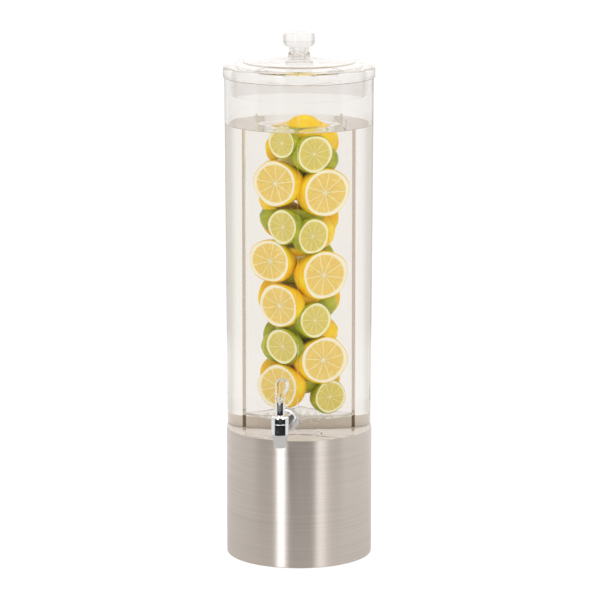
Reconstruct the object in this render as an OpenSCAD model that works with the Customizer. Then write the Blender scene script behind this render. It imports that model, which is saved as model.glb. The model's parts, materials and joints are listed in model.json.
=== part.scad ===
// Infusion beverage dispenser: a clear tapered tank in a brushed steel base, with a lift-out
// square infusion chamber, a domed lid and a self-closing lever faucet.
// Origin: on the tank's axis, at the surface that the base stands on. The faucet points to -Y.

/* [Base] */
// Outside diameter of the steel base
base_d = 203.2; // [160:0.2:300]
// Height of the base's top edge
base_h = 182.4; // [120:0.2:260]
// Thickness of the base's sheet steel
base_wall = 0.8; // [0.6:0.1:2]
// Radius of the base's rounded bottom edge
base_edge_r = 2.4; // [2.2:0.1:5]
// Gap between the table and the base's bottom edge
base_lift = 0.8; // [0.4:0.1:2]
// Width of the lip turned in under the base
base_lip_w = 9; // [7:0.5:15]
// Thickness of the bottom plate
plate_t = 1.5; // [1:0.1:4]
// Height of the bottom plate's turned-down rim
plate_rim_h = 3; // [2:0.1:8]
// Thickness of the ring that carries the tank
seat_t = 3; // [2:0.1:6]
// Width of the ring that carries the tank
seat_w = 12; // [8:0.5:20]
// Height of the seat ring's welded leg
seat_leg_h = 14; // [6:0.5:30]

/* [Tank] */
// Height of the tank wall, from its foot to its rim
tank_h = 516.7; // [300:0.1:700]
// How far the tank's foot stands down inside the base
tank_sunk = 24.4; // [8:0.1:40]
// Gap between the tank's foot and the base
tank_gap = 0.6; // [0.4:0.1:2]
// How much larger the tank's radius is at its rim than at its foot
tank_flare = 3; // [0.5:0.1:8]
// Thickness of the tank wall
tank_wall_t = 5; // [3:0.1:7]
// Height of the tank floor's underside above the wall's foot
floor_rise = 3; // [1:0.5:20]
// Thickness of the tank floor
floor_t = 5; // [4:0.5:10]

/* [Infusion chamber] */
// Width of the square chamber from corner to opposite corner
chamber_d = 121; // [90:0.5:150]
// Thickness of the chamber's walls
chamber_wall_t = 3; // [2:0.1:5]
// How far the chamber is turned from having a corner over the faucet
chamber_turn = 8.5; // [-45:0.5:45]
// Depth of the chamber's top edge below the tank's rim
chamber_drop = 5.7; // [3:0.1:30]
// Height of the chamber's perforated plate above the tank floor
foot_rise = 34; // [16:0.5:60]
// Thickness of the perforated plate
foot_t = 4; // [3:0.1:8]
// Width of the water slot at the foot of each chamber wall
slot_w = 40; // [20:0.5:50]
// Height of those slots
slot_h = 8; // [4:0.5:14]
// Height of the locating frame on the tank floor
locator_h = 6; // [5:0.1:12]
// Gap between the locating frame and the chamber's walls
locator_gap = 0.5; // [0.3:0.1:1.5]
// Diameter of the infusion holes
hole_d = 5; // [3:0.5:8]
// Distance between the infusion holes
hole_pitch = 12; // [9:0.5:20]

/* [Lid] */
// How far the lid's rim stands out past the tank
lid_overhang = 1.8; // [0.5:0.1:5]
// Height of the lid's rim
lid_rim_h = 15.8; // [10:0.1:25]
// Radius of the rim's rounded top edge
lid_edge_r = 4; // [1:0.1:6]
// Width of the sloping band between the rim and the dome
lid_band_w = 26; // [15:0.5:35]
// Rise of the sloping band
lid_band_rise = 4; // [1:0.1:8]
// Rise of the step at the foot of the dome
lid_step_rise = 1.8; // [0.5:0.1:4]
// Rise of the dome above the step
lid_dome_rise = 7.2; // [3:0.1:20]
// Thickness of the lid's dome
lid_t = 4.5; // [3:0.1:6]
// Depth of the collar that reaches down inside the tank
collar_h = 24.7; // [10:0.1:40]
// Gap between the collar and the tank's rim
collar_gap = 2.2; // [1:0.1:5]
// How much the collar's radius narrows towards its lower edge
collar_draft = 3; // [1:0.1:6]
// Thickness of the collar at its lower edge
collar_t = 5; // [3:0.1:7]

/* [Knob] */
// Diameter of the knob's head
knob_d = 44; // [30:0.5:60]
// Height of the knob
knob_h = 32; // [26:0.5:50]
// Height of the knob's head
knob_head_h = 20; // [14:0.5:22]
// Diameter of the knob's foot
knob_foot_d = 31; // [29:0.5:44]
// Diameter of the knob's waist
knob_waist_d = 27; // [22:0.5:28]
// Outside diameter of the screw that holds the knob
knob_screw_d = 16; // [8:0.5:18]
// Length of that screw inside the knob
knob_screw_in = 11; // [6:0.5:14]
// Distance between the screw's threads
knob_screw_pitch = 2.4; // [1.5:0.1:3]
// Diameter of the screw's head
knob_screw_head_d = 30; // [22:0.5:40]
// Thickness of the screw's head
knob_screw_head_t = 3; // [2:0.1:5]
// Thickness of the washer under the dome
knob_washer_t = 1; // [0.5:0.1:2]

/* [Faucet] */
// Height of the faucet's shank above the tank floor
shank_rise = 47; // [30:0.5:90]
// Distance from the tank wall to the faucet's upright axis
faucet_reach = 48.5; // [40:0.5:80]
// Outside diameter of the shank
shank_d = 16; // [13:0.5:18]
// Diameter of the waterway in the shank
shank_bore_d = 10; // [6:0.5:10]
// Diameter of the chrome flange
flange_d = 30; // [26:0.5:36]
// Thickness of the chrome flange
flange_t = 4.5; // [2:0.1:8]
// Diameter of the gasket behind the flange
gasket_d = 35; // [32:0.5:48]
// Thickness of the gasket at its thinnest
gasket_t = 3; // [1.5:0.1:5]
// Diameter of the gasket inside the tank
inner_gasket_d = 27; // [24:0.5:34]
// Width across the corners of the nut inside the tank
shank_nut_d = 26; // [23:0.5:32]
// Thickness of the nut inside the tank
shank_nut_t = 6; // [5:0.5:12]
// Diameter of the faucet's body
body_d = 24; // [22:0.5:34]
// Height of the faucet's body above the shank's axis
body_up = 17; // [13:0.5:24]
// Depth of the faucet's body below the shank's axis
body_down = 13; // [11:0.5:20]
// Length of the spout below the body
spout_h = 15; // [8:0.5:40]
// Outside diameter of the spout's mouth
spout_d = 16; // [14:0.5:20]
// Diameter of the waterway in the spout
spout_bore_d = 11; // [8:0.5:11]
// Gap between pieces that turn or slide in each other
run_gap = 0.05; // [0.02:0.01:0.1]

/* [Valve and lever] */
// Diameter of the valve stem
stem_d = 5.2; // [4:0.1:6]
// Diameter of the bonnet's neck
bonnet_d = 13.2; // [11.5:0.1:18]
// Height of the bonnet above the faucet's body
bonnet_h = 18; // [12:0.5:30]
// Depth of the bonnet's threaded end inside the body
bonnet_in = 7; // [5:0.5:8]
// Height of the bright ring round the bonnet's top
bonnet_ring_h = 2; // [1:0.1:4]
// How far that ring stands out
bonnet_ring_out = 0.6; // [0.2:0.1:1.5]
// Thickness of the bonnet's top
bonnet_top_t = 5; // [3:0.5:8]
// Height of the silicone seat cup
cup_h = 5; // [3:0.1:6]
// Gap between the seat cup and the body's bore
cup_gap = 1; // [0.6:0.1:1.5]
// Thickness of the collar that the spring presses on
stem_collar_t = 1.5; // [1:0.1:3]
// Diameter of the spring's wire
spring_wire_d = 0.9; // [0.6:0.1:1.2]
// Number of turns in the spring
spring_turns = 6; // [4:1:8]
// Diameter of the lever's pin
pin_d = 2.4; // [1.6:0.1:2.6]
// Diameter of the lever's foot
lever_foot_d = 14; // [13:0.1:18]
// Height of the lever's foot
lever_foot_h = 9; // [8:0.5:14]
// Diameter of the lever's rounded head
lever_head_d = 19.6; // [16:0.1:26]
// Length of the lever above its foot
lever_len = 24; // [20:0.5:60]
// How far the lever leans back at rest
lever_lean = 17; // [0:1:30]
// Direction that the lever leans to, from straight back towards +X
lever_turn = 38; // [-90:1:90]
// How far the lever turns to open the valve
lever_swing = 30; // [10:1:30]
// Gap under the lever's foot
lever_gap = 0.3; // [0.2:0.05:0.6]
// Gap on each side of the stem between the lever's cheeks
cheek_gap = 0.4; // [0.3:0.1:1]

/* [Hidden] */
$fn = 96;
eps = 0.01;
cut = 1;

// Base
base_r = base_d / 2;
base_in_r = base_r - base_wall;
lip_z = base_lift + base_wall;
plate_z = lip_z + plate_rim_h;
plate_gap = 0.3;
plate_r = base_in_r - plate_gap;
plate_rim_r = base_r - base_edge_r - plate_gap;
pad_gap = 2;
pad_r = base_r - base_lip_w - pad_gap;
seat_z = base_h - tank_sunk;

// Tank: its outside radius at a height, and the pieces that fit in it
function tank_r(z) = base_in_r - tank_gap + tank_flare * (z - seat_z) / tank_h;
function tank_in_r(z) = tank_r(z) - tank_wall_t;
rim_z = seat_z + tank_h;
floor_z = seat_z + floor_rise;
floor_top_z = floor_z + floor_t;

// Infusion chamber
chamber_side = chamber_d / sqrt(2);
chamber_in = chamber_side - 2 * chamber_wall_t;
foot_z = floor_top_z + foot_rise;
chamber_top_z = rim_z - chamber_drop;
locator_side = chamber_side - 2 * (chamber_wall_t + locator_gap);
locator_t = 4;
notch_w = 16;
notch_z = 2;
hole_count = floor((chamber_in - 2 * hole_d) / hole_pitch / 2);

// Lid
lid_r = tank_r(rim_z) + lid_overhang;
lid_band_z = rim_z + lid_rim_h;
lid_step_r = lid_r - lid_band_w;
lid_dome_r = lid_step_r - lid_step_rise;
lid_dome_z = lid_band_z + lid_band_rise + lid_step_rise;
lid_top_z = lid_dome_z + lid_dome_rise;
lid_flat_r = knob_foot_d / 2 + 0.5;
collar_r = tank_in_r(rim_z) - collar_gap;
collar_low_r = collar_r - collar_draft;
collar_in_r = collar_low_r - collar_t;
collar_z = rim_z - collar_h;
collar_corner = 2;
dome_steps = 14;
function dome_fall(r) = lid_dome_rise * pow(max(r - lid_flat_r, 0) / (lid_dome_r - lid_flat_r), 2);

// Knob
knob_z = lid_top_z;
knob_top_z = knob_z + knob_h;
knob_edge_r = 3.5;
knob_under_r = 8;
knob_shoulder_h = 3;
screw_gap = 0.3;
knob_neck_h = 3;
knob_foot_h = 2;
screw_top_z = knob_z + knob_screw_in;
washer_z = knob_z - lid_t - knob_washer_t;
thread_depth = 0.7;

// Faucet
shank_z = floor_top_z + shank_rise;
wall_y = -tank_r(shank_z);
faucet_y = wall_y - faucet_reach;
flange_y = wall_y - gasket_t;
inner_y = -tank_in_r(shank_z);
inner_gasket_t = 3;
wall_hole_gap = 0.25;
socket_in = 1;
nut_y = inner_y + inner_gasket_t;
shank_end_y = nut_y + shank_nut_t + 1.5;
shank_r = shank_d / 2;
body_r = body_d / 2;
body_edge_r = 4;
body_top_z = shank_z + body_up;
body_low_z = shank_z - body_down;
spout_z = body_low_z - spout_h;
spout_root_r = body_r - 1.5;
valve_bore_r = body_r - 4;
valve_seat_z = body_low_z + 3;
groove_r = 0.8;

// Bonnet, valve and lever
bonnet_r = bonnet_d / 2;
bonnet_top_z = body_top_z + bonnet_h;
stem_r = stem_d / 2;
spring_pocket_r = bonnet_r - 1.6;
spring_gap = 0.5;
spring_r = spring_pocket_r - spring_gap - spring_wire_d / 2;
stem_collar_gap = 0.4;
spring_top_z = bonnet_top_z - bonnet_top_t;
stem_collar_z = valve_seat_z + cup_h;
spring_low_z = stem_collar_z + stem_collar_t;
cup_r = valve_bore_r - cup_gap;
lever_z = bonnet_top_z + lever_gap;
pin_r = pin_d / 2;
pin_rise = 4;
pin_inset = 1.2;
slot_gap = 0.35;
pin_z = lever_z + pin_rise;
stem_top_z = pin_z + pin_r + 1.4;
heel_r = lever_foot_d / 2;
lift = heel_r * lever_swing * PI / 180;
slot_travel = heel_r * cos(lever_swing) + (pin_rise + lift) * sin(lever_swing) - heel_r;
cheek_slot = stem_d + 2 * cheek_gap;
cheek_slot_h = pin_rise + lift + pin_r + 2.4;
lever_head_r = lever_head_d / 2;
lever_neck_r = heel_r - 0.8;

// A filled outline with a rounded lower outside corner, for turning about the axis
module round_foot(r, low, high, edge) {
    translate([0, low + edge]) square([r, high - low - edge]);
    translate([0, low]) square([r - edge, 2 * edge]);
    translate([r - edge, low + edge]) circle(edge, $fn = 48);
}

// A square frame or plate, turned as the chamber is turned
module chamber_square(side, h) {
    rotate([0, 0, 45 + chamber_turn]) translate([-side / 2, -side / 2, 0]) cube([side, side, h]);
}

// A solid cone frustum that follows the tank's taper, at an offset from its outside
module tank_core(low, high, inset) {
    translate([0, 0, low])
        cylinder(h = high - low, r1 = tank_r(low) - inset, r2 = tank_r(high) - inset, $fn = 360);
}

// A round bar along the shank's axis, from one distance to another
module along_shank(from_y, to_y, r) {
    translate([0, to_y, shank_z]) rotate([90, 0, 0]) cylinder(h = to_y - from_y, r = r);
}

// Children are placed on the faucet's upright axis
module on_faucet(z) {
    translate([0, faucet_y, z]) children();
}

// Children are placed on the faucet's axis with +Y in the direction that the lever leans to
module on_lever(z) {
    on_faucet(z) rotate([0, 0, -lever_turn]) children();
}

module base_shell() {
    color("silver") rotate_extrude($fn = 180) difference() {
        round_foot(base_r, base_lift, base_h, base_edge_r);
        round_foot(base_in_r, lip_z, base_h + cut, base_edge_r - base_wall);
        translate([0, base_lift - cut]) square([base_r - base_lip_w, base_wall + 2 * cut]);
    }
}

module base_plate() {
    color("gray") rotate_extrude() {
        translate([0, plate_z]) square([plate_r, plate_t]);
        translate([plate_rim_r - plate_t, lip_z]) square([plate_t, plate_rim_h + eps]);
    }
}

module base_pad() {
    color("black") cylinder(h = plate_z, r = pad_r);
}

module tank_seat_ring() {
    color("gray") rotate_extrude() {
        translate([base_in_r - seat_w, seat_z - seat_t]) square([seat_w, seat_t]);
        translate([base_in_r - seat_t, seat_z - seat_leg_h]) square([seat_t, seat_leg_h]);
    }
}

module tank_wall() {
    color("azure", 0.3) difference() {
        tank_core(seat_z, rim_z, 0);
        tank_core(seat_z - cut, rim_z + cut, tank_wall_t);
        along_shank(wall_y - cut, inner_y + cut, shank_r + wall_hole_gap);
    }
}

module tank_floor() {
    color("azure", 0.3) tank_core(floor_z, floor_top_z, tank_wall_t);
}

module chamber_locator() {
    color("azure", 0.3) translate([0, 0, floor_top_z]) difference() {
        chamber_square(locator_side, locator_h);
        translate([0, 0, -cut]) chamber_square(locator_side - 2 * locator_t, locator_h + 2 * cut);
        for (turn = [0, 90])
            rotate([0, 0, 45 + chamber_turn + turn])
                translate([-chamber_side, -notch_w / 2, notch_z]) cube([2 * chamber_side, notch_w, locator_h]);
    }
}

module faucet_shank() {
    color("silver") difference() {
        along_shank(faucet_y + body_r - 2 * socket_in, shank_end_y, shank_r);
        along_shank(faucet_y, shank_end_y + cut, shank_bore_d / 2);
        on_faucet(body_low_z) cylinder(h = body_up + body_down, r = body_r - socket_in);
    }
}

module faucet_flange() {
    edge = min(1.5, flange_t / 3);
    color("silver") translate([0, flange_y, shank_z]) rotate([90, 0, 0]) difference() {
        union() {
            cylinder(h = flange_t - edge, r = flange_d / 2);
            translate([0, 0, flange_t - edge])
                cylinder(h = edge, r1 = flange_d / 2, r2 = flange_d / 2 - edge);
        }
        translate([0, 0, -cut]) cylinder(h = flange_t + 2 * cut, r = shank_r + run_gap);
    }
}

module outer_gasket() {
    color("white", 0.5) difference() {
        along_shank(flange_y, wall_y + gasket_d / 4, gasket_d / 2);
        tank_core(seat_z, rim_z, 0);
        along_shank(flange_y - cut, 0, shank_r + run_gap);
    }
}

module inner_gasket() {
    color("white", 0.5) difference() {
        intersection() {
            along_shank(inner_y - cut, nut_y, inner_gasket_d / 2);
            tank_core(seat_z, rim_z, tank_wall_t);
        }
        along_shank(inner_y - 2 * cut, nut_y + cut, shank_r + run_gap);
    }
}

module shank_nut() {
    color("white") difference() {
        translate([0, nut_y + shank_nut_t, shank_z]) rotate([90, 0, 0])
            cylinder(h = shank_nut_t, r = shank_nut_d / 2, $fn = 6);
        along_shank(nut_y - cut, nut_y + shank_nut_t + cut, shank_r + run_gap);
    }
}

module faucet_body() {
    color("silver") difference() {
        union() {
            on_faucet(0) rotate_extrude() {
                translate([0, body_low_z]) square([body_r - body_edge_r, body_up + body_down]);
                translate([0, body_low_z + body_edge_r])
                    square([body_r, body_up + body_down - 2 * body_edge_r]);
                for (z = [body_low_z + body_edge_r, body_top_z - body_edge_r])
                    translate([body_r - body_edge_r, z]) circle(body_edge_r, $fn = 48);
            }
            on_faucet(spout_z) cylinder(h = spout_h + 1, r1 = spout_d / 2, r2 = spout_root_r);
        }
        on_faucet(shank_z + body_up / 3) rotate_extrude() translate([body_r + groove_r / 2, 0])
            circle(groove_r, $fn = 24);
        on_faucet(spout_z - cut) cylinder(h = valve_seat_z - spout_z + 2 * cut, r = spout_bore_d / 2);
        on_faucet(valve_seat_z) cylinder(h = body_top_z - valve_seat_z + cut, r = valve_bore_r);
        along_shank(faucet_y, faucet_y + body_d, shank_bore_d / 2);
        intersection() {
            along_shank(faucet_y, faucet_y + body_d, shank_r);
            difference() {
                on_faucet(body_low_z - cut) cylinder(h = body_up + body_down + 2 * cut, r = body_d);
                on_faucet(body_low_z - 2 * cut)
                    cylinder(h = body_up + body_down + 4 * cut, r = body_r - socket_in);
            }
        }
    }
}

module faucet_bonnet() {
    color("silver") on_faucet(0) difference() {
        union() {
            translate([0, 0, body_top_z - bonnet_in]) cylinder(h = bonnet_in, r = valve_bore_r);
            translate([0, 0, body_top_z]) cylinder(h = bonnet_h, r = bonnet_r);
            translate([0, 0, bonnet_top_z - bonnet_ring_h])
                cylinder(h = bonnet_ring_h, r = bonnet_r + bonnet_ring_out);
        }
        translate([0, 0, body_top_z - bonnet_in - cut])
            cylinder(h = spring_top_z - body_top_z + bonnet_in + cut, r = spring_pocket_r);
        translate([0, 0, spring_top_z - cut])
            cylinder(h = bonnet_top_t + 2 * cut, r = stem_r + run_gap);
    }
}

// The spring is a stack of rings with the coil's pitch
module valve_spring() {
    pitch = (spring_top_z - spring_low_z - spring_wire_d) / (spring_turns - 1);
    color("lightgray") on_faucet(spring_low_z + spring_wire_d / 2)
        for (turn = [0 : spring_turns - 1])
            translate([0, 0, turn * pitch]) rotate_extrude($fn = 48) translate([spring_r, 0])
                circle(spring_wire_d / 2, $fn = 16);
}

module valve_stem() {
    color("silver") difference() {
        union() {
            on_faucet(stem_collar_z) cylinder(h = stem_top_z - stem_collar_z, r = stem_r);
            on_faucet(stem_collar_z) cylinder(h = stem_collar_t, r = spring_pocket_r - stem_collar_gap);
        }
        on_lever(pin_z) rotate([0, 90, 0])
            cylinder(h = 2 * stem_d, r = pin_r + run_gap, center = true, $fn = 48);
    }
}

module seat_cup() {
    color("ivory") on_faucet(valve_seat_z) cylinder(h = cup_h, r = cup_r);
}

module lever_pin() {
    color("silver") on_lever(pin_z) rotate([0, 90, 0])
        cylinder(h = lever_foot_d - 2 * pin_inset, r = pin_r, center = true, $fn = 48);
}

module faucet_lever() {
    slot_end = [0, heel_r + slot_travel, pin_rise * cos(lever_swing) + lift * cos(lever_swing)
        - heel_r * sin(lever_swing)];
    slot_dir = slot_end - [0, heel_r, pin_rise];
    slot_len = norm(slot_dir);
    head_z = lever_len - lever_head_r;
    tangent = asin((lever_head_r - lever_neck_r) / head_z);
    slot_r = pin_r + slot_gap;
    color("white", 0.5) on_lever(lever_z) difference() {
        union() {
            cylinder(h = lever_foot_h, r = heel_r);
            translate([0, 0, lever_foot_h]) rotate([-lever_lean, 0, 0]) rotate_extrude()
                polygon(concat(
                    [[0, -lever_neck_r]],
                    [for (a = [-75 : 15 : -15]) lever_neck_r * [cos(a), sin(a)]],
                    [for (a = [-tangent : 10 : 80]) [lever_head_r * cos(a), head_z + lever_head_r * sin(a)]],
                    [[0, lever_len]]));
        }
        translate([-cheek_slot / 2, -lever_foot_d, -cut])
            cube([cheek_slot, 2 * lever_foot_d, cheek_slot_h + cut]);
        translate([0, 0, pin_rise]) rotate([atan2(slot_dir[2], slot_dir[1]), 0, 0]) rotate([90, 0, 90])
            linear_extrude(height = lever_foot_d + 2 * cut, center = true) {
                circle(slot_r, $fn = 48);
                translate([slot_len, 0]) circle(slot_r, $fn = 48);
                translate([0, -slot_r]) square([slot_len, 2 * slot_r]);
            }
    }
}

module chamber_tube() {
    tube_h = chamber_top_z - floor_top_z;
    color("azure", 0.3) translate([0, 0, floor_top_z]) difference() {
        chamber_square(chamber_side, tube_h);
        translate([0, 0, -cut]) chamber_square(chamber_in, tube_h + 2 * cut);
        for (turn = [0, 90])
            rotate([0, 0, 45 + chamber_turn + turn])
                translate([-chamber_side, -slot_w / 2, -cut]) cube([2 * chamber_side, slot_w, slot_h + cut]);
    }
}

module chamber_foot() {
    color("azure", 0.3) translate([0, 0, foot_z]) difference() {
        chamber_square(chamber_in, foot_t);
        rotate([0, 0, 45 + chamber_turn])
            for (i = [-hole_count : hole_count], j = [-hole_count : hole_count])
                translate([i * hole_pitch, j * hole_pitch, -cut])
                    cylinder(h = foot_t + 2 * cut, r = hole_d / 2, $fn = 24);
    }
}

// The lid's outline: rim, sloping band, step and dome outside, collar and dome inside
module lid_cover() {
    dome = [for (i = [0 : dome_steps]) lid_dome_r * (1 - i / dome_steps)];
    outside = concat(
        [[lid_r, rim_z], [lid_r, lid_band_z - lid_edge_r]],
        [for (a = [15 : 15 : 75]) [lid_r - lid_edge_r * (1 - cos(a)), lid_band_z - lid_edge_r * (1 - sin(a))]],
        [[lid_r - lid_edge_r, lid_band_z], [lid_step_r, lid_band_z + lid_band_rise]],
        [for (r = dome) [r, lid_top_z - dome_fall(r)]]);
    inside = concat(
        [for (i = [0 : dome_steps]) [dome[dome_steps - i], lid_top_z - lid_t - dome_fall(dome[dome_steps - i])]],
        [[collar_in_r, lid_band_z - collar_corner], [collar_in_r, collar_z], [collar_low_r, collar_z], [collar_r, rim_z]]);
    color("azure", 0.3) difference() {
        rotate_extrude() polygon(concat(outside, inside));
        translate([0, 0, lid_top_z - lid_t - cut])
            cylinder(h = lid_t + 2 * cut, r = knob_screw_d / 2 + screw_gap);
    }
}

module lid_knob() {
    waist_z = knob_z + knob_h - knob_head_h - knob_neck_h - knob_shoulder_h;
    head_z = knob_top_z - knob_head_h;
    color("azure", 0.4) difference() {
        rotate_extrude() {
            polygon([[0, knob_z], [knob_foot_d / 2, knob_z], [knob_foot_d / 2, knob_z + knob_foot_h],
                [knob_waist_d / 2, waist_z], [knob_waist_d / 2, waist_z + knob_neck_h],
                [knob_d / 2 - knob_under_r, head_z], [knob_d / 2, head_z + knob_under_r],
                [knob_d / 2, knob_top_z - knob_edge_r], [knob_d / 2 - knob_edge_r, knob_top_z],
                [0, knob_top_z]]);
            translate([knob_d / 2 - knob_under_r, head_z + knob_under_r]) circle(knob_under_r, $fn = 64);
            translate([knob_d / 2 - knob_edge_r, knob_top_z - knob_edge_r]) circle(knob_edge_r, $fn = 48);
        }
        translate([0, 0, knob_z - cut])
            cylinder(h = knob_screw_in + 1 + cut, r = knob_screw_d / 2 + run_gap);
    }
}

module knob_screw() {
    stud_z = washer_z;
    stud_h = screw_top_z - stud_z;
    threads = floor((stud_h - 1) / knob_screw_pitch);
    color("azure", 0.4) difference() {
        union() {
            translate([0, 0, stud_z - knob_screw_head_t])
                cylinder(h = knob_screw_head_t, r = knob_screw_head_d / 2);
            translate([0, 0, stud_z - eps]) cylinder(h = stud_h + eps, r = knob_screw_d / 2);
        }
        for (i = [1 : threads])
            translate([0, 0, stud_z + i * knob_screw_pitch]) rotate_extrude()
                translate([knob_screw_d / 2 + thread_depth / 4, 0]) circle(thread_depth, $fn = 16);
    }
}

module knob_washer() {
    color("white", 0.6) translate([0, 0, washer_z]) difference() {
        cylinder(h = knob_washer_t, r = knob_screw_head_d / 2 - 1);
        translate([0, 0, -cut]) cylinder(h = knob_washer_t + 2 * cut, r = knob_screw_d / 2 + screw_gap);
    }
}

base_shell();
base_plate();
base_pad();
tank_seat_ring();
tank_wall();
tank_floor();
chamber_locator();
faucet_shank();
faucet_flange();
outer_gasket();
inner_gasket();
shank_nut();
faucet_body();
faucet_bonnet();
valve_spring();
valve_stem();
seat_cup();
lever_pin();
faucet_lever();
chamber_tube();
chamber_foot();
lid_cover();
lid_knob();
knob_screw();
knob_washer();
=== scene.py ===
"""The looks of an infusion beverage dispenser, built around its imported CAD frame."""
import json
import math
import random

import bpy
from mathutils import Matrix, Vector


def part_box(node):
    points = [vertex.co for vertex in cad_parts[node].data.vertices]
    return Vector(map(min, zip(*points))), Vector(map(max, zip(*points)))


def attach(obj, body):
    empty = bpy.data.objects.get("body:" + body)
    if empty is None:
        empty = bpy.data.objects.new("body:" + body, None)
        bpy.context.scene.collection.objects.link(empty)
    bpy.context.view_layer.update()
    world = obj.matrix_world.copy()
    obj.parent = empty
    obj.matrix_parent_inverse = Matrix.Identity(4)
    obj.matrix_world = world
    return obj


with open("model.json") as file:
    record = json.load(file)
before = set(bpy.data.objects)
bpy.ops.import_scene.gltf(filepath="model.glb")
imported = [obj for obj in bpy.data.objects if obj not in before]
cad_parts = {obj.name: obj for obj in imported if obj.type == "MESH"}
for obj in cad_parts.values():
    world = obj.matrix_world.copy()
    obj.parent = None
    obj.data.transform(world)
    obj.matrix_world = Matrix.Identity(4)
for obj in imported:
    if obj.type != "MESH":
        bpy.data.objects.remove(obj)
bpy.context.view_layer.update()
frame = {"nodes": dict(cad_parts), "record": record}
NODES = frame["nodes"]

# ---------------------------------------------------------------- sizes, in metres

MM = 0.001
WALL = 5 * MM                     # thickness of the tank wall
CHAMBER_WALL = 3 * MM             # thickness of the chamber's walls
CHAMBER_TURN = math.radians(8.5)  # how far the chamber's front corner is turned from the faucet
WATER_LEVEL = 609 * MM
OVERLAP = 0.15 * MM               # how far the water reaches into the clear walls, so no air film shows
MENISCUS = 1.6 * MM               # how high the water climbs at a wall
MENISCUS_REACH = 2.2 * MM         # how far from the wall that climb fades
SEGMENTS = 240                    # points round each turned piece

WALL_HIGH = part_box("tank_wall")[1]
FLOOR_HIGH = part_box("tank_floor")[1]
TUBE_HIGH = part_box("chamber_tube")[1]
BASE_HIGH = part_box("base_shell")[1]

RIM_R = WALL_HIGH.x
FLOOR_R = FLOOR_HIGH.x
FLARE = (RIM_R - WALL - FLOOR_R) / (WALL_HIGH.z - FLOOR_HIGH.z)
TUBE_HALF = TUBE_HIGH.x / math.cos(CHAMBER_TURN) / math.sqrt(2)
TUBE_IN = TUBE_HALF - CHAMBER_WALL
SHELL_HALF_WALL = 0.4 * MM        # half the thickness of the base's steel


def tank_in_r(z):
    """The tank's inside radius at a height."""
    return FLOOR_R + FLARE * (z - FLOOR_HIGH.z)


# ---------------------------------------------------------------- camera

CAMERA_AZIMUTH = math.radians(10)
CAMERA_DISTANCE = 4.7586
CAMERA_HEIGHT = 1.2916
CAMERA_PITCH = math.radians(11.07)
CAMERA_YAW = math.radians(-0.015)
CAMERA_LENS = 208.7


def make_camera():
    data = bpy.data.cameras.new("camera")
    data.lens = CAMERA_LENS
    data.sensor_width = 36
    data.clip_end = 60
    camera = bpy.data.objects.new("camera", data)
    bpy.context.scene.collection.objects.link(camera)
    camera.location = (
        CAMERA_DISTANCE * math.sin(CAMERA_AZIMUTH),
        -CAMERA_DISTANCE * math.cos(CAMERA_AZIMUTH),
        CAMERA_HEIGHT,
    )
    camera.rotation_euler = (math.pi / 2 - CAMERA_PITCH, 0, CAMERA_AZIMUTH + CAMERA_YAW)
    bpy.context.scene.camera = camera
    return camera


make_camera()

# ---------------------------------------------------------------- node helpers


class Tree:
    """A short way to write node trees."""

    def __init__(self, owner):
        owner.use_nodes = True
        self.tree = owner.node_tree
        self.tree.nodes.clear()

    def node(self, kind, inputs=None, **settings):
        made = self.tree.nodes.new(kind)
        for name, value in settings.items():
            setattr(made, name, value)
        for name, value in (inputs or {}).items():
            self.put(made.inputs[name], value)
        return made

    def put(self, socket, value):
        if isinstance(value, bpy.types.NodeSocket):
            self.tree.links.new(value, socket)
        else:
            socket.default_value = value

    def math(self, operation, a, b=0.0, c=0.0, clamp=False):
        made = self.node("ShaderNodeMath", operation=operation, use_clamp=clamp)
        for socket, value in zip(made.inputs, (a, b, c)):
            self.put(socket, value)
        return made.outputs[0]

    def ramp(self, factor, stops, interpolation="LINEAR"):
        made = self.node("ShaderNodeValToRGB", {"Fac": factor})
        ramp = made.color_ramp
        ramp.interpolation = interpolation
        while len(ramp.elements) > 1:
            ramp.elements.remove(ramp.elements[0])
        for i, (place, colour) in enumerate(stops):
            element = ramp.elements[0] if i == 0 else ramp.elements.new(place)
            element.position = place
            element.color = (*colour, 1) if len(colour) == 3 else colour
        return made.outputs["Color"]

    def mix(self, factor, a, b):
        made = self.node("ShaderNodeMix", data_type="RGBA")
        self.put(made.inputs["Factor"], factor)
        self.put(made.inputs["A"], a if isinstance(a, bpy.types.NodeSocket) else (*a, 1))
        self.put(made.inputs["B"], b if isinstance(b, bpy.types.NodeSocket) else (*b, 1))
        return made.outputs["Result"]

    def blend(self, factor, a, b):
        made = self.node("ShaderNodeMixShader", {"Fac": factor})
        self.put(made.inputs[1], a)
        self.put(made.inputs[2], b)
        return made.outputs[0]

    def noise(self, vector, scale, detail=3.0, roughness=0.5):
        made = self.node("ShaderNodeTexNoise", {
            "Vector": vector, "Scale": scale, "Detail": detail, "Roughness": roughness})
        return made.outputs["Fac"]

    def stretch(self, vector, scale):
        return self.node("ShaderNodeMapping", {"Vector": vector, "Scale": scale}).outputs[0]

    def bump(self, height, distance, strength=1.0):
        made = self.node("ShaderNodeBump", {
            "Height": height, "Distance": distance, "Strength": strength})
        return made.outputs["Normal"]

    def coords(self, output="Object"):
        return self.node("ShaderNodeTexCoord").outputs[output]

    def split(self, vector):
        return self.node("ShaderNodeSeparateXYZ", {"Vector": vector}).outputs

    def span(self, value, low, high, to_low=0.0, to_high=1.0):
        made = self.node("ShaderNodeMapRange", {
            "Value": value, "From Min": low, "From Max": high, "To Min": to_low, "To Max": to_high})
        return made.outputs[0]

    def length(self, x, y):
        squares = self.math("ADD", self.math("MULTIPLY", x, x), self.math("MULTIPLY", y, y))
        return self.math("SQRT", squares)

    def finish(self, shader, kind="ShaderNodeOutputMaterial"):
        self.node(kind, {"Surface": shader})


def new_material(name):
    made = bpy.data.materials.new(name)
    return made, Tree(made)


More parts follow.
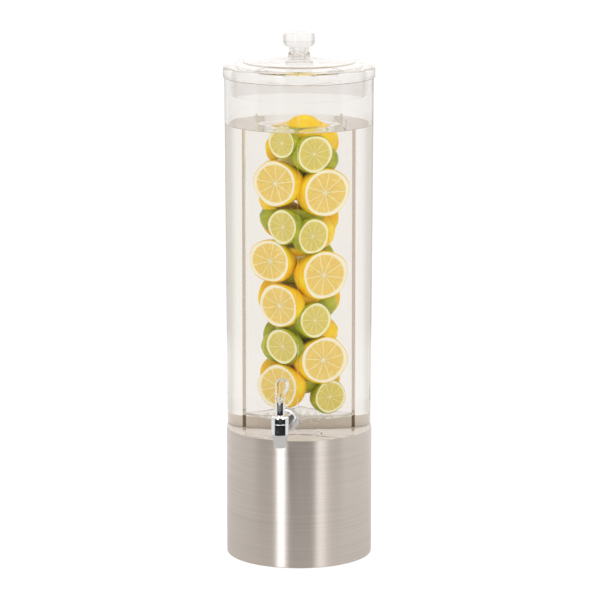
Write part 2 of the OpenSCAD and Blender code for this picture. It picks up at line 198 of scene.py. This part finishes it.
# ---------------------------------------------------------------- materials


LONGEST_PATH = 14               # light that has turned this often goes straight on
MOST_MIRRORS = 5                # and so does light mirrored this often inside clear pieces
EDGE_TINT = (0.86, 0.83, 0.79)  # what clear edges leave of such light at each face


def caught(t, path):
    """1 for light that has been running round inside clear pieces."""
    return t.math("MAXIMUM", t.math("GREATER_THAN", path["Ray Depth"], LONGEST_PATH),
                  t.math("GREATER_THAN", path["Glossy Depth"], MOST_MIRRORS))


def clear_material(name, ior, tint, ripple=0.002, rough=0.0, glint=0.2):
    """A clear plastic or liquid: it bends what is behind it, and lets the lamps' light straight through.
    glint scales its square-on reflections."""
    made, t = new_material(name)
    where = t.coords()
    glass = t.node("ShaderNodeBsdfPrincipled", {
        "Base Color": (*tint, 1), "Transmission Weight": 1.0, "IOR": ior,
        "Roughness": t.span(t.noise(where, 60.0, 2.0), 0.35, 0.8, rough, rough + 0.004),
        "Specular Tint": (glint, glint, glint, 1),
        "Normal": t.bump(t.noise(where, 14.0, 1.0), ripple * MM)}).outputs[0]
    through = t.node("ShaderNodeBsdfTransparent", {"Color": (*[c ** 0.5 for c in tint], 1)}).outputs[0]
    path = t.node("ShaderNodeLightPath").outputs
    easy = t.math("MAXIMUM", path["Is Shadow Ray"], path["Is Diffuse Ray"])
    edge = t.node("ShaderNodeBsdfTransparent", {"Color": (*EDGE_TINT, 1)}).outputs[0]
    t.finish(t.blend(caught(t, path), t.blend(easy, glass, through), edge))
    return made


def frosted(name, colour, clear, roughness):
    """Plastic or silicone that lets light through without showing what is behind it."""
    made, t = new_material(name)
    where = t.coords()
    tone = t.mix(t.noise(t.stretch(where, (8, 90, 8)), 1.0, 3.0), [c * 0.9 for c in colour], colour)
    t.finish(t.node("ShaderNodeBsdfPrincipled", {
        "Base Color": tone,
        "Transmission Weight": clear, "IOR": 1.4,
        "Roughness": t.span(t.noise(where, 120.0), 0.3, 0.7, roughness - 0.05, roughness + 0.05),
        "Normal": t.bump(t.noise(where, 500.0, 2.0), 0.01 * MM)}).outputs[0])
    return made


# inside: a pale painted-light colour for the inside of the base, standing in for the light it catches from
# above
def brushed_steel(name, colour, roughness, grain, inside=(0.95, 0.90, 0.87)):
    """Steel brushed round the axis: fine level lines, and reflections drawn out up and down.
    On the inside of the base it is dull, and painted pale: painted light for the light it would catch from
    above."""
    made, t = new_material(name)
    where = t.coords()
    lines = t.noise(t.stretch(where, (5, 5, 520)), 1.0, 2.0, 0.7)
    broad = t.noise(t.stretch(where, (2, 2, 60)), 1.0, 2.0)
    dark = [c * (1 - grain) for c in colour]
    light = [min(1, c * (1 + grain)) for c in colour]
    tone = t.mix(t.span(lines, 0.3, 0.7), dark, light)
    x, y = t.split(where)[:2]
    reach = t.length(x, y)
    # the inside of the base, which gets a pale painted-light colour and a duller, less metallic finish
    inner_painted_light_and_dull = t.math("LESS_THAN", reach, BASE_HIGH.x - SHELL_HALF_WALL)
    tone = t.mix(inner_painted_light_and_dull, tone, inside)
    tangent = t.node("ShaderNodeTangent", direction_type="RADIAL", axis="Z").outputs[0]
    shader = t.node("ShaderNodeBsdfPrincipled", {
        "Base Color": tone, "Metallic": t.span(inner_painted_light_and_dull, 0.0, 1.0, 1.0, 0.3),
        "Roughness": t.span(broad, 0.3, 0.7, roughness - 0.012, roughness + 0.012),
        "Anisotropic": 1.0, "Anisotropic Rotation": 0.25, "Tangent": tangent,
        "Normal": t.bump(lines, 0.001 * MM, 0.5)})
    t.finish(shader.outputs[0])
    return made


def plated(name, colour, roughness):
    """Polished plating with faint orange peel and smudges."""
    made, t = new_material(name)
    where = t.coords()
    smudge = t.span(t.noise(where, 90.0, 3.0), 0.45, 0.75, roughness, roughness + 0.08)
    shader = t.node("ShaderNodeBsdfPrincipled", {
        "Base Color": t.mix(t.noise(where, 30.0), [c * 0.97 for c in colour], colour), "Metallic": 1.0,
        "Roughness": smudge, "Normal": t.bump(t.noise(where, 420.0, 1.0), 0.004 * MM)})
    t.finish(shader.outputs[0])
    return made


def moulded(name, colour, roughness, bump=0.03, subsurface=0.0):
    """Moulded rubber or plastic with a fine, slightly uneven surface."""
    made, t = new_material(name)
    where = t.coords()
    tone = t.mix(t.noise(where, 50.0, 4.0), [c * 0.88 for c in colour], colour)
    uneven = t.span(t.noise(where, 200.0), 0.3, 0.7, roughness - 0.06, roughness + 0.06)
    shader = t.node("ShaderNodeBsdfPrincipled", {
        "Base Color": tone, "Roughness": uneven,
        "Subsurface Weight": subsurface,
        "Normal": t.bump(t.noise(where, 700.0, 2.0), bump * MM)})
    t.finish(shader.outputs[0])
    return made


def fruit_flesh(name, pulp_low, pulp_high, pith, segments):
    """A cut citrus face in the object's own XY plane, one unit in radius.
    It has segments, membranes, a core and pith."""
    made, t = new_material(name)
    x, y = t.split(t.coords())[:2]
    radius = t.length(x, y)
    angle = t.math("ARCTAN2", y, x)
    where = t.coords()
    wobble = t.math("MULTIPLY", t.math("SUBTRACT", t.noise(where, 2.2, 1.0), 0.5), 0.16)
    turned = t.math("MULTIPLY", t.math("ADD", angle, wobble), segments / math.tau)
    turn = t.math("FRACT", t.math("ADD", turned, 20.0))
    middle = t.math("ABSOLUTE", t.math("SUBTRACT", turn, 0.5))
    edge_width = t.math("DIVIDE", 0.015 * segments / 6, t.math("MAXIMUM", radius, 0.08))
    membrane = t.math("GREATER_THAN", middle, t.math("SUBTRACT", 0.5, edge_width))
    polar = t.node("ShaderNodeCombineXYZ", {
        "X": t.math("MULTIPLY", angle, 7.0), "Y": t.math("MULTIPLY", radius, 3.2)})
    cells = t.node("ShaderNodeTexVoronoi", {"Vector": polar.outputs[0], "Scale": 3.0}).outputs["Distance"]
    fine = t.noise(where, 9.0, 4.0)
    pulp_share = t.math("ADD", t.math("MULTIPLY", cells, 0.7), t.math("MULTIPLY", fine, 0.35), clamp=True)
    pulp = t.mix(pulp_share, pulp_low, pulp_high)
    pulp = t.mix(membrane, pulp, [0.5 * (a + b) for a, b in zip(pith, pulp_high)])
    core = t.math("LESS_THAN", radius, t.math("ADD", 0.05, t.math("MULTIPLY", fine, 0.05)))
    rim = t.span(t.math("ADD", radius, t.math("MULTIPLY", wobble, 0.03)), 0.80, 0.84)
    colour = t.mix(t.math("MAXIMUM", core, rim), pulp, pith)
    height = t.math("MULTIPLY", t.math("SUBTRACT", 1.0, cells), t.math("SUBTRACT", 1.0, rim))
    shader = t.node("ShaderNodeBsdfPrincipled", {
        "Base Color": colour, "Roughness": t.span(rim, 0.0, 1.0, 0.28, 0.55),
        "Subsurface Weight": 0.12, "Subsurface Scale": 0.01,
        "Normal": t.bump(height, 0.6 * MM, 0.6)})
    t.finish(shader.outputs[0])
    return made


def fruit_skin(name, low, high):
    """Citrus zest: oil pits and slow changes of colour."""
    made, t = new_material(name)
    where = t.coords()
    pores = t.node("ShaderNodeTexVoronoi", {"Vector": where, "Scale": 16.0}, feature="SMOOTH_F1")
    pits = pores.outputs["Distance"]
    tone = t.mix(t.span(t.noise(where, 1.6, 3.0), 0.35, 0.65), low, high)
    tone = t.mix(t.span(pits, 0.0, 0.4, 0.25, 0.0), tone, [c * 0.7 for c in low])
    shader = t.node("ShaderNodeBsdfPrincipled", {
        "Base Color": tone, "Roughness": t.span(pits, 0.0, 0.5, 0.32, 0.45),
        "Subsurface Weight": 0.06, "Subsurface Scale": 0.005,
        "Normal": t.bump(pits, 0.5 * MM, 0.5)})
    t.finish(shader.outputs[0])
    return made


MATERIALS = {
    "clear_tank": clear_material("clear_tank", 1.49, (0.965, 0.96, 0.95), glint=0.25),
    "frosted_floor": frosted("frosted_floor", (0.98, 0.92, 0.905), 0.0, 0.5),
    "clear_lid": clear_material("clear_lid", 1.45, (0.99, 0.985, 0.98), glint=0.8),
    "clear_chamber": clear_material("clear_chamber", 1.14, (0.98, 0.98, 0.975), glint=0.15),
    "clear_lever": clear_material("clear_lever", 1.36, (0.95, 0.94, 0.93), rough=0.02, glint=0.7),
    "clear_silicone": frosted("clear_silicone", (0.95, 0.93, 0.90), 0.6, 0.3),
    "brushed_steel": brushed_steel("brushed_steel", (0.70, 0.64, 0.588), 0.37, 0.05),
    "inner_steel": brushed_steel("inner_steel", (0.62, 0.61, 0.59), 0.45, 0.04),
    "steel_rod": plated("steel_rod", (0.72, 0.72, 0.72), 0.2),
    "chrome": plated("chrome", (0.84, 0.84, 0.85), 0.03),
    "pad_rubber": moulded("pad_rubber", (0.03, 0.03, 0.03), 0.7, 0.1),
    "white_nut": moulded("white_nut", (0.82, 0.81, 0.78), 0.4),
}
# the perforated plate and locating frame stand in water, which bends light nearly as much as they do
IMMERSED = clear_material("clear_immersed", 1.12, (0.98, 0.98, 0.975), glint=0.3)
WATER = clear_material("water", 1.33, (0.985, 0.975, 0.955), ripple=0.0, glint=0.1)

for row in frame["record"]["subparts"]:
    slots = NODES[row["node"]].data.materials
    slots.clear()
    slots.append(MATERIALS[row["material_slot"]])
for name in ("chamber_foot", "chamber_locator"):
    NODES[name].data.materials[0] = IMMERSED

# ---------------------------------------------------------------- mesh helpers


def new_object(name, verts, faces, materials, body, sharp=30.0):
    mesh = bpy.data.meshes.new(name)
    mesh.from_pydata(verts, [], faces)
    mesh.validate()
    for material in materials:
        mesh.materials.append(material)
    mesh.polygons.foreach_set("use_smooth", [True] * len(mesh.polygons))
    mesh.set_sharp_from_angle(angle=math.radians(sharp))
    made = bpy.data.objects.new(name, mesh)
    bpy.context.scene.collection.objects.link(made)
    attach(made, body)
    return made


def circle_ring(r, z, count=SEGMENTS, turn=0.0):
    return [(r * math.cos(turn + math.tau * i / count), r * math.sin(turn + math.tau * i / count), z)
            for i in range(count)]


def square_ring(half, z, count, turn):
    """Points of a square, one for each of the circle's directions, corners among them."""
    ring = []
    for i in range(count):
        a = math.tau * i / count
        off = (a + math.pi / 4) % (math.pi / 2) - math.pi / 4
        r = half / math.cos(off)
        ring.append((r * math.cos(a + turn), r * math.sin(a + turn), z))
    return ring


def skin_rings(rings, low_centre=None, high_centre=None, closed=False):
    """Faces over a list of rings of equal length, from the first ring to the last."""
    count = len(rings[0])
    verts = [p for ring in rings for p in ring]
    faces = []
    pairs = [(k, k + 1) for k in range(len(rings) - 1)]
    if closed:
        pairs.append((len(rings) - 1, 0))
    for a, b in pairs:
        for i in range(count):
            j = (i + 1) % count
            faces.append((a * count + i, a * count + j, b * count + j, b * count + i))
    if low_centre:
        verts.append(low_centre)
        faces += [(len(verts) - 1, (i + 1) % count, i) for i in range(count)]
    if high_centre:
        verts.append(high_centre)
        last = (len(rings) - 1) * count
        faces += [(len(verts) - 1, last + i, last + (i + 1) % count) for i in range(count)]
    return verts, faces


# ---------------------------------------------------------------- water


def meniscus(distance):
    return MENISCUS * math.exp(-distance / MENISCUS_REACH * 2)


def make_water():
    """One body of water, full to the tank's walls, with its level drawn up a little at each wall it meets."""
    count = SEGMENTS
    low = FLOOR_HIGH.z - OVERLAP
    level_r = tank_in_r(WATER_LEVEL) + OVERLAP
    turn = CHAMBER_TURN - math.pi / 4
    steps = [d * MM for d in (0.4, 0.9, 1.6, 2.6, 4.5, 7.0, 9.0)]
    middle = TUBE_HALF - CHAMBER_WALL / 2
    rings = [circle_ring(tank_in_r(low) + OVERLAP, low, count, turn)]
    rings.append(circle_ring(level_r, WATER_LEVEL + MENISCUS, count, turn))
    rings += [circle_ring(level_r - OVERLAP - d, WATER_LEVEL + meniscus(d), count, turn) for d in steps]
    rings += [square_ring(TUBE_HALF + d, WATER_LEVEL + meniscus(d), count, turn) for d in reversed(steps)]
    rings.append(square_ring(middle, WATER_LEVEL + MENISCUS, count, turn))
    rings += [square_ring(TUBE_IN - d, WATER_LEVEL + meniscus(d), count, turn) for d in steps]
    verts, faces = skin_rings(rings, (0, 0, low), (0, 0, WATER_LEVEL))
    return new_object("water", verts, faces, [WATER], "tank")


make_water()

# ---------------------------------------------------------------- fruit

LEMON_FLESH = fruit_flesh("lemon_flesh", (0.76, 0.45, 0.035), (1.0, 0.80, 0.27), (0.97, 0.89, 0.67), 9)
LIME_FLESH = fruit_flesh("lime_flesh", (0.62, 0.50, 0.05), (0.88, 0.73, 0.21), (0.92, 0.86, 0.52), 10)
LEMON_SKIN = fruit_skin("lemon_skin", (0.95, 0.54, 0.0), (1.0, 0.72, 0.005))
LIME_SKIN = fruit_skin("lime_skin", (0.30, 0.34, 0.003), (0.54, 0.54, 0.010))
RIND = 0.055


def citrus_mesh(name, depth, tip, seed, materials):
    """Half a citrus fruit, one unit in radius: the cut face in the XY plane looking to +Z, the skin below."""
    draw = random.Random(seed)
    count, face_rings, skin_steps = 72, 14, 14
    phase = [draw.uniform(0, math.tau) for _ in range(4)]
    size = [draw.uniform(0.008, 0.02) for _ in range(4)]

    def round_off(a):
        return 1 + sum(s * math.cos((k + 2) * a + p) for k, (s, p) in enumerate(zip(size, phase)))

    rings = []
    for k in range(1, face_rings + 1):
        share = k / face_rings * (1 - RIND)
        dish = 0.012 * math.sin(math.pi * share) + (0.02 * (share / 0.9) ** 8)
        rings.append([(share * round_off(a) * math.cos(a), share * round_off(a) * math.sin(a), dish)
                      for a in (math.tau * i / count for i in range(count))])
    flesh_rings = len(rings)
    for k in range(skin_steps):
        a0 = (k + 0.25) / skin_steps * math.pi / 2
        share, drop = math.cos(a0) ** 0.9, -depth * math.sin(a0)
        if k == 0:
            share, drop = 1.0, -0.03
        bulge = 1 + 0.03 * math.sin(2 * a0)
        drop -= tip * max(0.0, (a0 / (math.pi / 2) - 0.8) * 5) ** 2
        width = share * bulge
        rings.append([(width * round_off(a) * math.cos(a), width * round_off(a) * math.sin(a), drop)
                      for a in (math.tau * i / count for i in range(count))])
    verts, faces = skin_rings(rings, (0, 0, 0.0), (0, 0, -depth - tip))
    mesh = bpy.data.meshes.new(name)
    mesh.from_pydata(verts, [], [tuple(reversed(f)) for f in faces])
    for material in materials:
        mesh.materials.append(material)
    cut = (flesh_rings - 1) * count
    skin_faces = skin_steps * count
    for i, face in enumerate(mesh.polygons):
        face.use_smooth = True
        face.material_index = 1 if cut <= i < cut + skin_faces or i >= len(mesh.polygons) - count else 0
    mesh.set_sharp_from_angle(angle=math.radians(50))
    return mesh


LEMONS = [citrus_mesh(f"lemon_{s}", 0.86, 0.06, 11 + s, [LEMON_FLESH, LEMON_SKIN]) for s in range(3)]
LIMES = [citrus_mesh(f"lime_{s}", 0.84, 0.04, 31 + s, [LIME_FLESH, LIME_SKIN]) for s in range(3)]

# All of these are in mm.
# Halves that lie with the cut face on a wall: kind, place along the wall, height, radius.
# Walls go round from the front left one; places run from each wall's middle towards the next wall.
WALL_FRUIT = [
    [("lime", 12, 589, 21), ("lemon", 1, 532, 32), ("lime", 13, 473, 24.5), ("lemon", -7, 423, 30),
     ("lemon", 7.5, 362, 30.5), ("lime", 12, 305, 25), ("lemon", 5.5, 247, 32)],
    [("lime", -12, 574, 26.5), ("lemon", 5, 519, 34), ("lime", -14, 460, 25), ("lemon", 3.5, 404, 34.5),
     ("lime", -11, 342, 25), ("lemon", 2.5, 284, 33.5), ("lime", 11.5, 231, 23.5)],
    [("lemon", 8, 585, 26), ("lime", 12, 534, 24), ("lemon", 8, 480, 28), ("lime", 12, 424, 24),
     ("lemon", 8, 367, 28), ("lime", 12, 311, 24), ("lemon", 8, 254, 28)],
    [("lemon", -12, 575, 22), ("lime", -10, 530, 24), ("lemon", -8, 478, 27), ("lime", -12, 425, 24),
     ("lemon", -8, 368, 28), ("lime", -12, 314, 24), ("lemon", -8, 256, 28)],
]
# Halves that lie skin outwards in a corner: corner (0 is the front one), height, radius, kind, tilt (degrees)
CORNER_FRUIT = [
    (1, 592, 22, "lemon", 0), (1, 561, 20, "lime", -10), (1, 462, 26, "lemon", 5),
    (1, 361, 22, "lime", -5), (1, 322, 21, "lemon", 10), (3, 506, 20, "lemon", 0), (3, 482, 20, "lime", 10),
    (3, 368, 26, "lemon", -5), (2, 565, 22, "lime", 0), (2, 450, 24, "lemon", 5), (2, 340, 24, "lime", 0),
    (3, 300, 22, "lime", 0), (1, 262, 22, "lime", 0), (2, 285, 24, "lemon", 0),
]
# Heights of the halves in the middle of the chamber, their place across it and their radius
MIDDLE_FRUIT = [566, 530, 490, 450, 412, 372, 332, 294, 256]
MIDDLE_PLACE = (2, -6)
MIDDLE_RADIUS = 26
# Single halves: name, kind, variant, place, direction of the cut face, radius, spin
LOOSE_FRUIT = [
    ("lime_front", "lime", 2, (8, -24, 414), (0.1, -1, 0.1), 19, 1.0),
    ("lemon_top", "lemon", 1, (6, -4, 599), (0.2, 0.3, -1), 25.5, 0.0),
]
FACE_GAP = 0.6 * MM    # between a cut face and the wall it lies on
CORNER_GAP = 1.0 * MM  # between a corner fruit and the walls
CORNER_DEPTH = 1.57    # how far a corner fruit's cut face lies from the corner, as a share of its radius


def place_fruit(name, kind, variant, centre, facing, radius, spin):
    mesh = (LEMONS if kind == "lemon" else LIMES)[variant % 3]
    made = bpy.data.objects.new(name, mesh)
    bpy.context.scene.collection.objects.link(made)
    turn = Vector(facing).to_track_quat("Z", "Y").to_matrix().to_4x4()
    made.matrix_world = (Matrix.Translation(centre) @ turn @ Matrix.Rotation(spin, 4, "Z")
                         @ Matrix.Scale(radius, 4))
    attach(made, "infusion_chamber")
    return made


def make_fruit():
    draw = random.Random(5)
    for wall, row in enumerate(WALL_FRUIT):
        out = CHAMBER_TURN - math.pi / 2 + math.pi / 4 * (2 * wall - 1)
        normal = Vector((math.cos(out), math.sin(out), 0))
        along = Vector((-math.sin(out), math.cos(out), 0))
        for i, (kind, place, height, radius) in enumerate(row):
            sideways, upwards = draw.uniform(-0.05, 0.05), draw.uniform(-0.05, 0.05)
            facing = (normal + along * sideways + Vector((0, 0, upwards))).normalized()
            lean = math.sqrt(max(0.0, 1 - facing.dot(normal) ** 2))
            depth = TUBE_IN - FACE_GAP - radius * MM * (lean + 0.03)
            centre = normal * depth + along * place * MM + Vector((0, 0, height * MM))
            spin = draw.uniform(0, math.tau)
            place_fruit(f"{kind}_half_{wall}_{i}", kind, i + wall, centre, facing, radius * MM, spin)
    for i, (corner, height, radius, kind, tilt) in enumerate(CORNER_FRUIT):
        out = CHAMBER_TURN - math.pi / 2 + math.pi / 2 * corner
        rise = math.radians(tilt)
        outwards = Vector((math.cos(out) * math.cos(rise), math.sin(out) * math.cos(rise), math.sin(rise)))
        depth = (TUBE_IN - CORNER_GAP) * math.sqrt(2) - radius * MM * CORNER_DEPTH
        centre = Vector((math.cos(out), math.sin(out), 0)) * depth + Vector((0, 0, height * MM))
        place_fruit(f"{kind}_corner_{i}", kind, i, centre, -outwards, radius * MM, draw.uniform(0, math.tau))
    for i, height in enumerate(MIDDLE_FRUIT):
        kind = "lemon" if i % 2 else "lime"
        facing = Vector((draw.uniform(-0.4, 0.4), draw.uniform(-0.4, 0.4), 1)).normalized()
        spin = draw.uniform(0, math.tau)
        centre = Vector((*MIDDLE_PLACE, height)) * MM
        place_fruit(f"{kind}_middle_{i}", kind, i, centre, facing, MIDDLE_RADIUS * MM, spin)
    for name, kind, variant, place, facing, radius, spin in LOOSE_FRUIT:
        place_fruit(name, kind, variant, Vector(place) * MM, Vector(facing).normalized(), radius * MM, spin)


make_fruit()

# ---------------------------------------------------------------- studio


def studio_share(t, x, y):
    """The direction round the axis as a number from 0 to 1, with 0.5 on the camera's side."""
    centred = t.math("ADD", t.math("ARCTAN2", y, x), math.pi / 2 - CAMERA_AZIMUTH)
    return t.math("FRACT", t.math("ADD", t.math("DIVIDE", centred, math.tau), 0.5))


def stop(degrees):
    """The same number for a direction in degrees, counted from the camera's side."""
    return 0.5 + degrees / 360


def mirror_sides(t, share):
    """What glossy pieces mirror: soft strips of light with dim gaps between them."""
    return t.ramp(share, [
        (0.0, (1.3, 1.3, 1.3)), (stop(-120), (1.1, 1.08, 1.05)), (stop(-46), (0.70, 0.65, 0.59)),
        (stop(-37), (0.66, 0.62, 0.58)), (stop(-34), (5.8, 6.0, 6.2)), (stop(-25), (5.8, 6.0, 6.2)),
        (stop(-20), (0.20, 0.18, 0.16)), (stop(24), (0.20, 0.18, 0.16)), (stop(30), (2.9, 2.9, 2.9)),
        (stop(40), (2.6, 2.6, 2.6)), (stop(46), (1.4, 1.35, 1.29)), (stop(56), (1.15, 1.12, 1.08)),
        (stop(150), (1.3, 1.28, 1.26)), (1.0, (1.3, 1.3, 1.3))])


def clear_sides(t, share):
    """What clear pieces show of the studio: white behind, a little dimmer towards each side."""
    white, dim = (0.90, 0.875, 0.86), (0.66, 0.63, 0.59)
    return t.ramp(share, [
        (0.0, white), (stop(-146), white), (stop(-136), dim), (stop(-100), dim), (stop(-80), white),
        (stop(80), white), (stop(100), dim), (stop(136), dim), (stop(146), white), (1.0, white)])


def straight_mirror(t, path):
    """1 for light that comes off a glossy surface without having been caught inside a clear piece."""
    mirrored = t.math("MULTIPLY", path["Is Glossy Ray"], t.math("SUBTRACT", 1.0, path["Is Transmission Ray"]))
    return t.math("MULTIPLY", mirrored, t.math("SUBTRACT", 1.0, caught(t, path)))


FLOOR_HALF = 14  # half the floor's width, metres


def make_floor():
    """A white table that glows evenly to the eye. To glossy pieces it shows painted reflections: painted
    shade, dim at the front, and far off painted strips of light. To clear pieces it shows dimmer, with
    painted shade towards each side.
    """
    mesh = bpy.data.meshes.new("studio_floor")
    size = FLOOR_HALF
    corners = [(-size, -size, 0), (size, -size, 0), (size, size, 0), (-size, size, 0)]
    mesh.from_pydata(corners, [], [(0, 1, 2, 3)])
    floor = bpy.data.objects.new("studio_floor", mesh)
    bpy.context.scene.collection.objects.link(floor)
    made, t = new_material("studio_floor")
    where = t.coords()
    x, y = t.split(where)[:2]
    share = studio_share(t, x, y)
    path = t.node("ShaderNodeLightPath").outputs
    reach = t.length(x, y)
    # painted reflection: glossy pieces see painted dark shade at the front of the floor and light at its
    # sides
    middle = t.ramp(share, [
        (0.0, (0.9, 0.9, 0.9)), (stop(-72), (0.9, 0.9, 0.9)), (stop(-60), (0.02, 0.02, 0.02)),
        (stop(60), (0.02, 0.02, 0.02)), (stop(72), (0.9, 0.9, 0.9)), (1.0, (0.9, 0.9, 0.9))])
    # painted reflection: far off, glossy pieces see dimmed strips of painted light in the floor
    far_painted_strips = t.mix(0.6, mirror_sides(t, share), (0.0, 0.0, 0.0))
    bright = t.mix(t.span(reach, 1.22, 1.24), middle, (0.9, 0.9, 0.9))
    # what glossy pieces see in the floor: painted grey near the base, then the painted dark front, then the
    # painted strips far off
    mirror = t.mix(t.span(reach, 0.5, 0.62), (0.62, 0.60, 0.58), t.mix(t.span(reach, 1.4, 1.6), bright, far_painted_strips))
    white = t.mix(t.noise(where, 3.0), (0.86, 0.86, 0.86), (0.88, 0.88, 0.88))
    # the eye sees the floor evenly white; clear pieces see it dim, with painted shade towards each side
    plain = t.mix(path["Is Transmission Ray"], white, t.mix(0.14, clear_sides(t, share), (0.0, 0.0, 0.0)))
    glossy = straight_mirror(t, path)
    # for glossy rays the floor has no colour of its own, and its glow carries the painted reflections
    t.finish(t.node("ShaderNodeBsdfPrincipled", {
        "Base Color": t.mix(glossy, (0.22, 0.22, 0.22), (0.0, 0.0, 0.0)), "Roughness": 0.9,
        "Specular IOR Level": 0.0, "Emission Color": t.mix(glossy, plain, mirror), "Emission Strength": 1.0,
    }).outputs[0])
    mesh.materials.append(made)


def make_world():
    """White to the eye; clear and glossy pieces see a studio with bright and dim sides."""
    world = bpy.data.worlds.new("studio")
    bpy.context.scene.world = world
    t = Tree(world)
    x, y, z = t.split(t.node("ShaderNodeTexCoord").outputs["Generated"])
    share = studio_share(t, x, y)
    path = t.node("ShaderNodeLightPath").outputs
    mirror = t.mix(t.span(z, 0.45, 0.85), mirror_sides(t, share), (1.2, 1.2, 1.2))
    plain = t.mix(path["Is Transmission Ray"], (1.0, 1.0, 1.0), clear_sides(t, share))
    glossy = straight_mirror(t, path)
    t.finish(t.node("ShaderNodeBackground", {
        "Color": t.mix(glossy, plain, mirror), "Strength": 1.0}).outputs[0], "ShaderNodeOutputWorld")


def area_light(name, azimuth, elevation, distance, size, power):
    data = bpy.data.lights.new(name, "AREA")
    data.shape = "RECTANGLE"
    data.size, data.size_y = size
    data.energy = power
    made = bpy.data.objects.new(name, data)
    bpy.context.scene.collection.objects.link(made)
    a, e = math.radians(azimuth - 90) + CAMERA_AZIMUTH, math.radians(elevation)
    target = Vector((0, 0, 0.4))
    towards = Vector((math.cos(a) * math.cos(e), math.sin(a) * math.cos(e), math.sin(e)))
    made.location = target + distance * towards
    made.rotation_euler = (target - made.location).to_track_quat("-Z", "Y").to_euler()
    return made


def make_lights():
    area_light("top_softbox", 20, 68, 2.6, (2.0, 2.0), 9)


make_floor()
make_world()
make_lights()

scene = bpy.context.scene
scene.view_settings.view_transform = "Standard"
scene.cycles.max_bounces = 32
scene.cycles.transmission_bounces = 32
scene.cycles.glossy_bounces = 8
scene.cycles.diffuse_bounces = 3
scene.cycles.transparent_max_bounces = 32
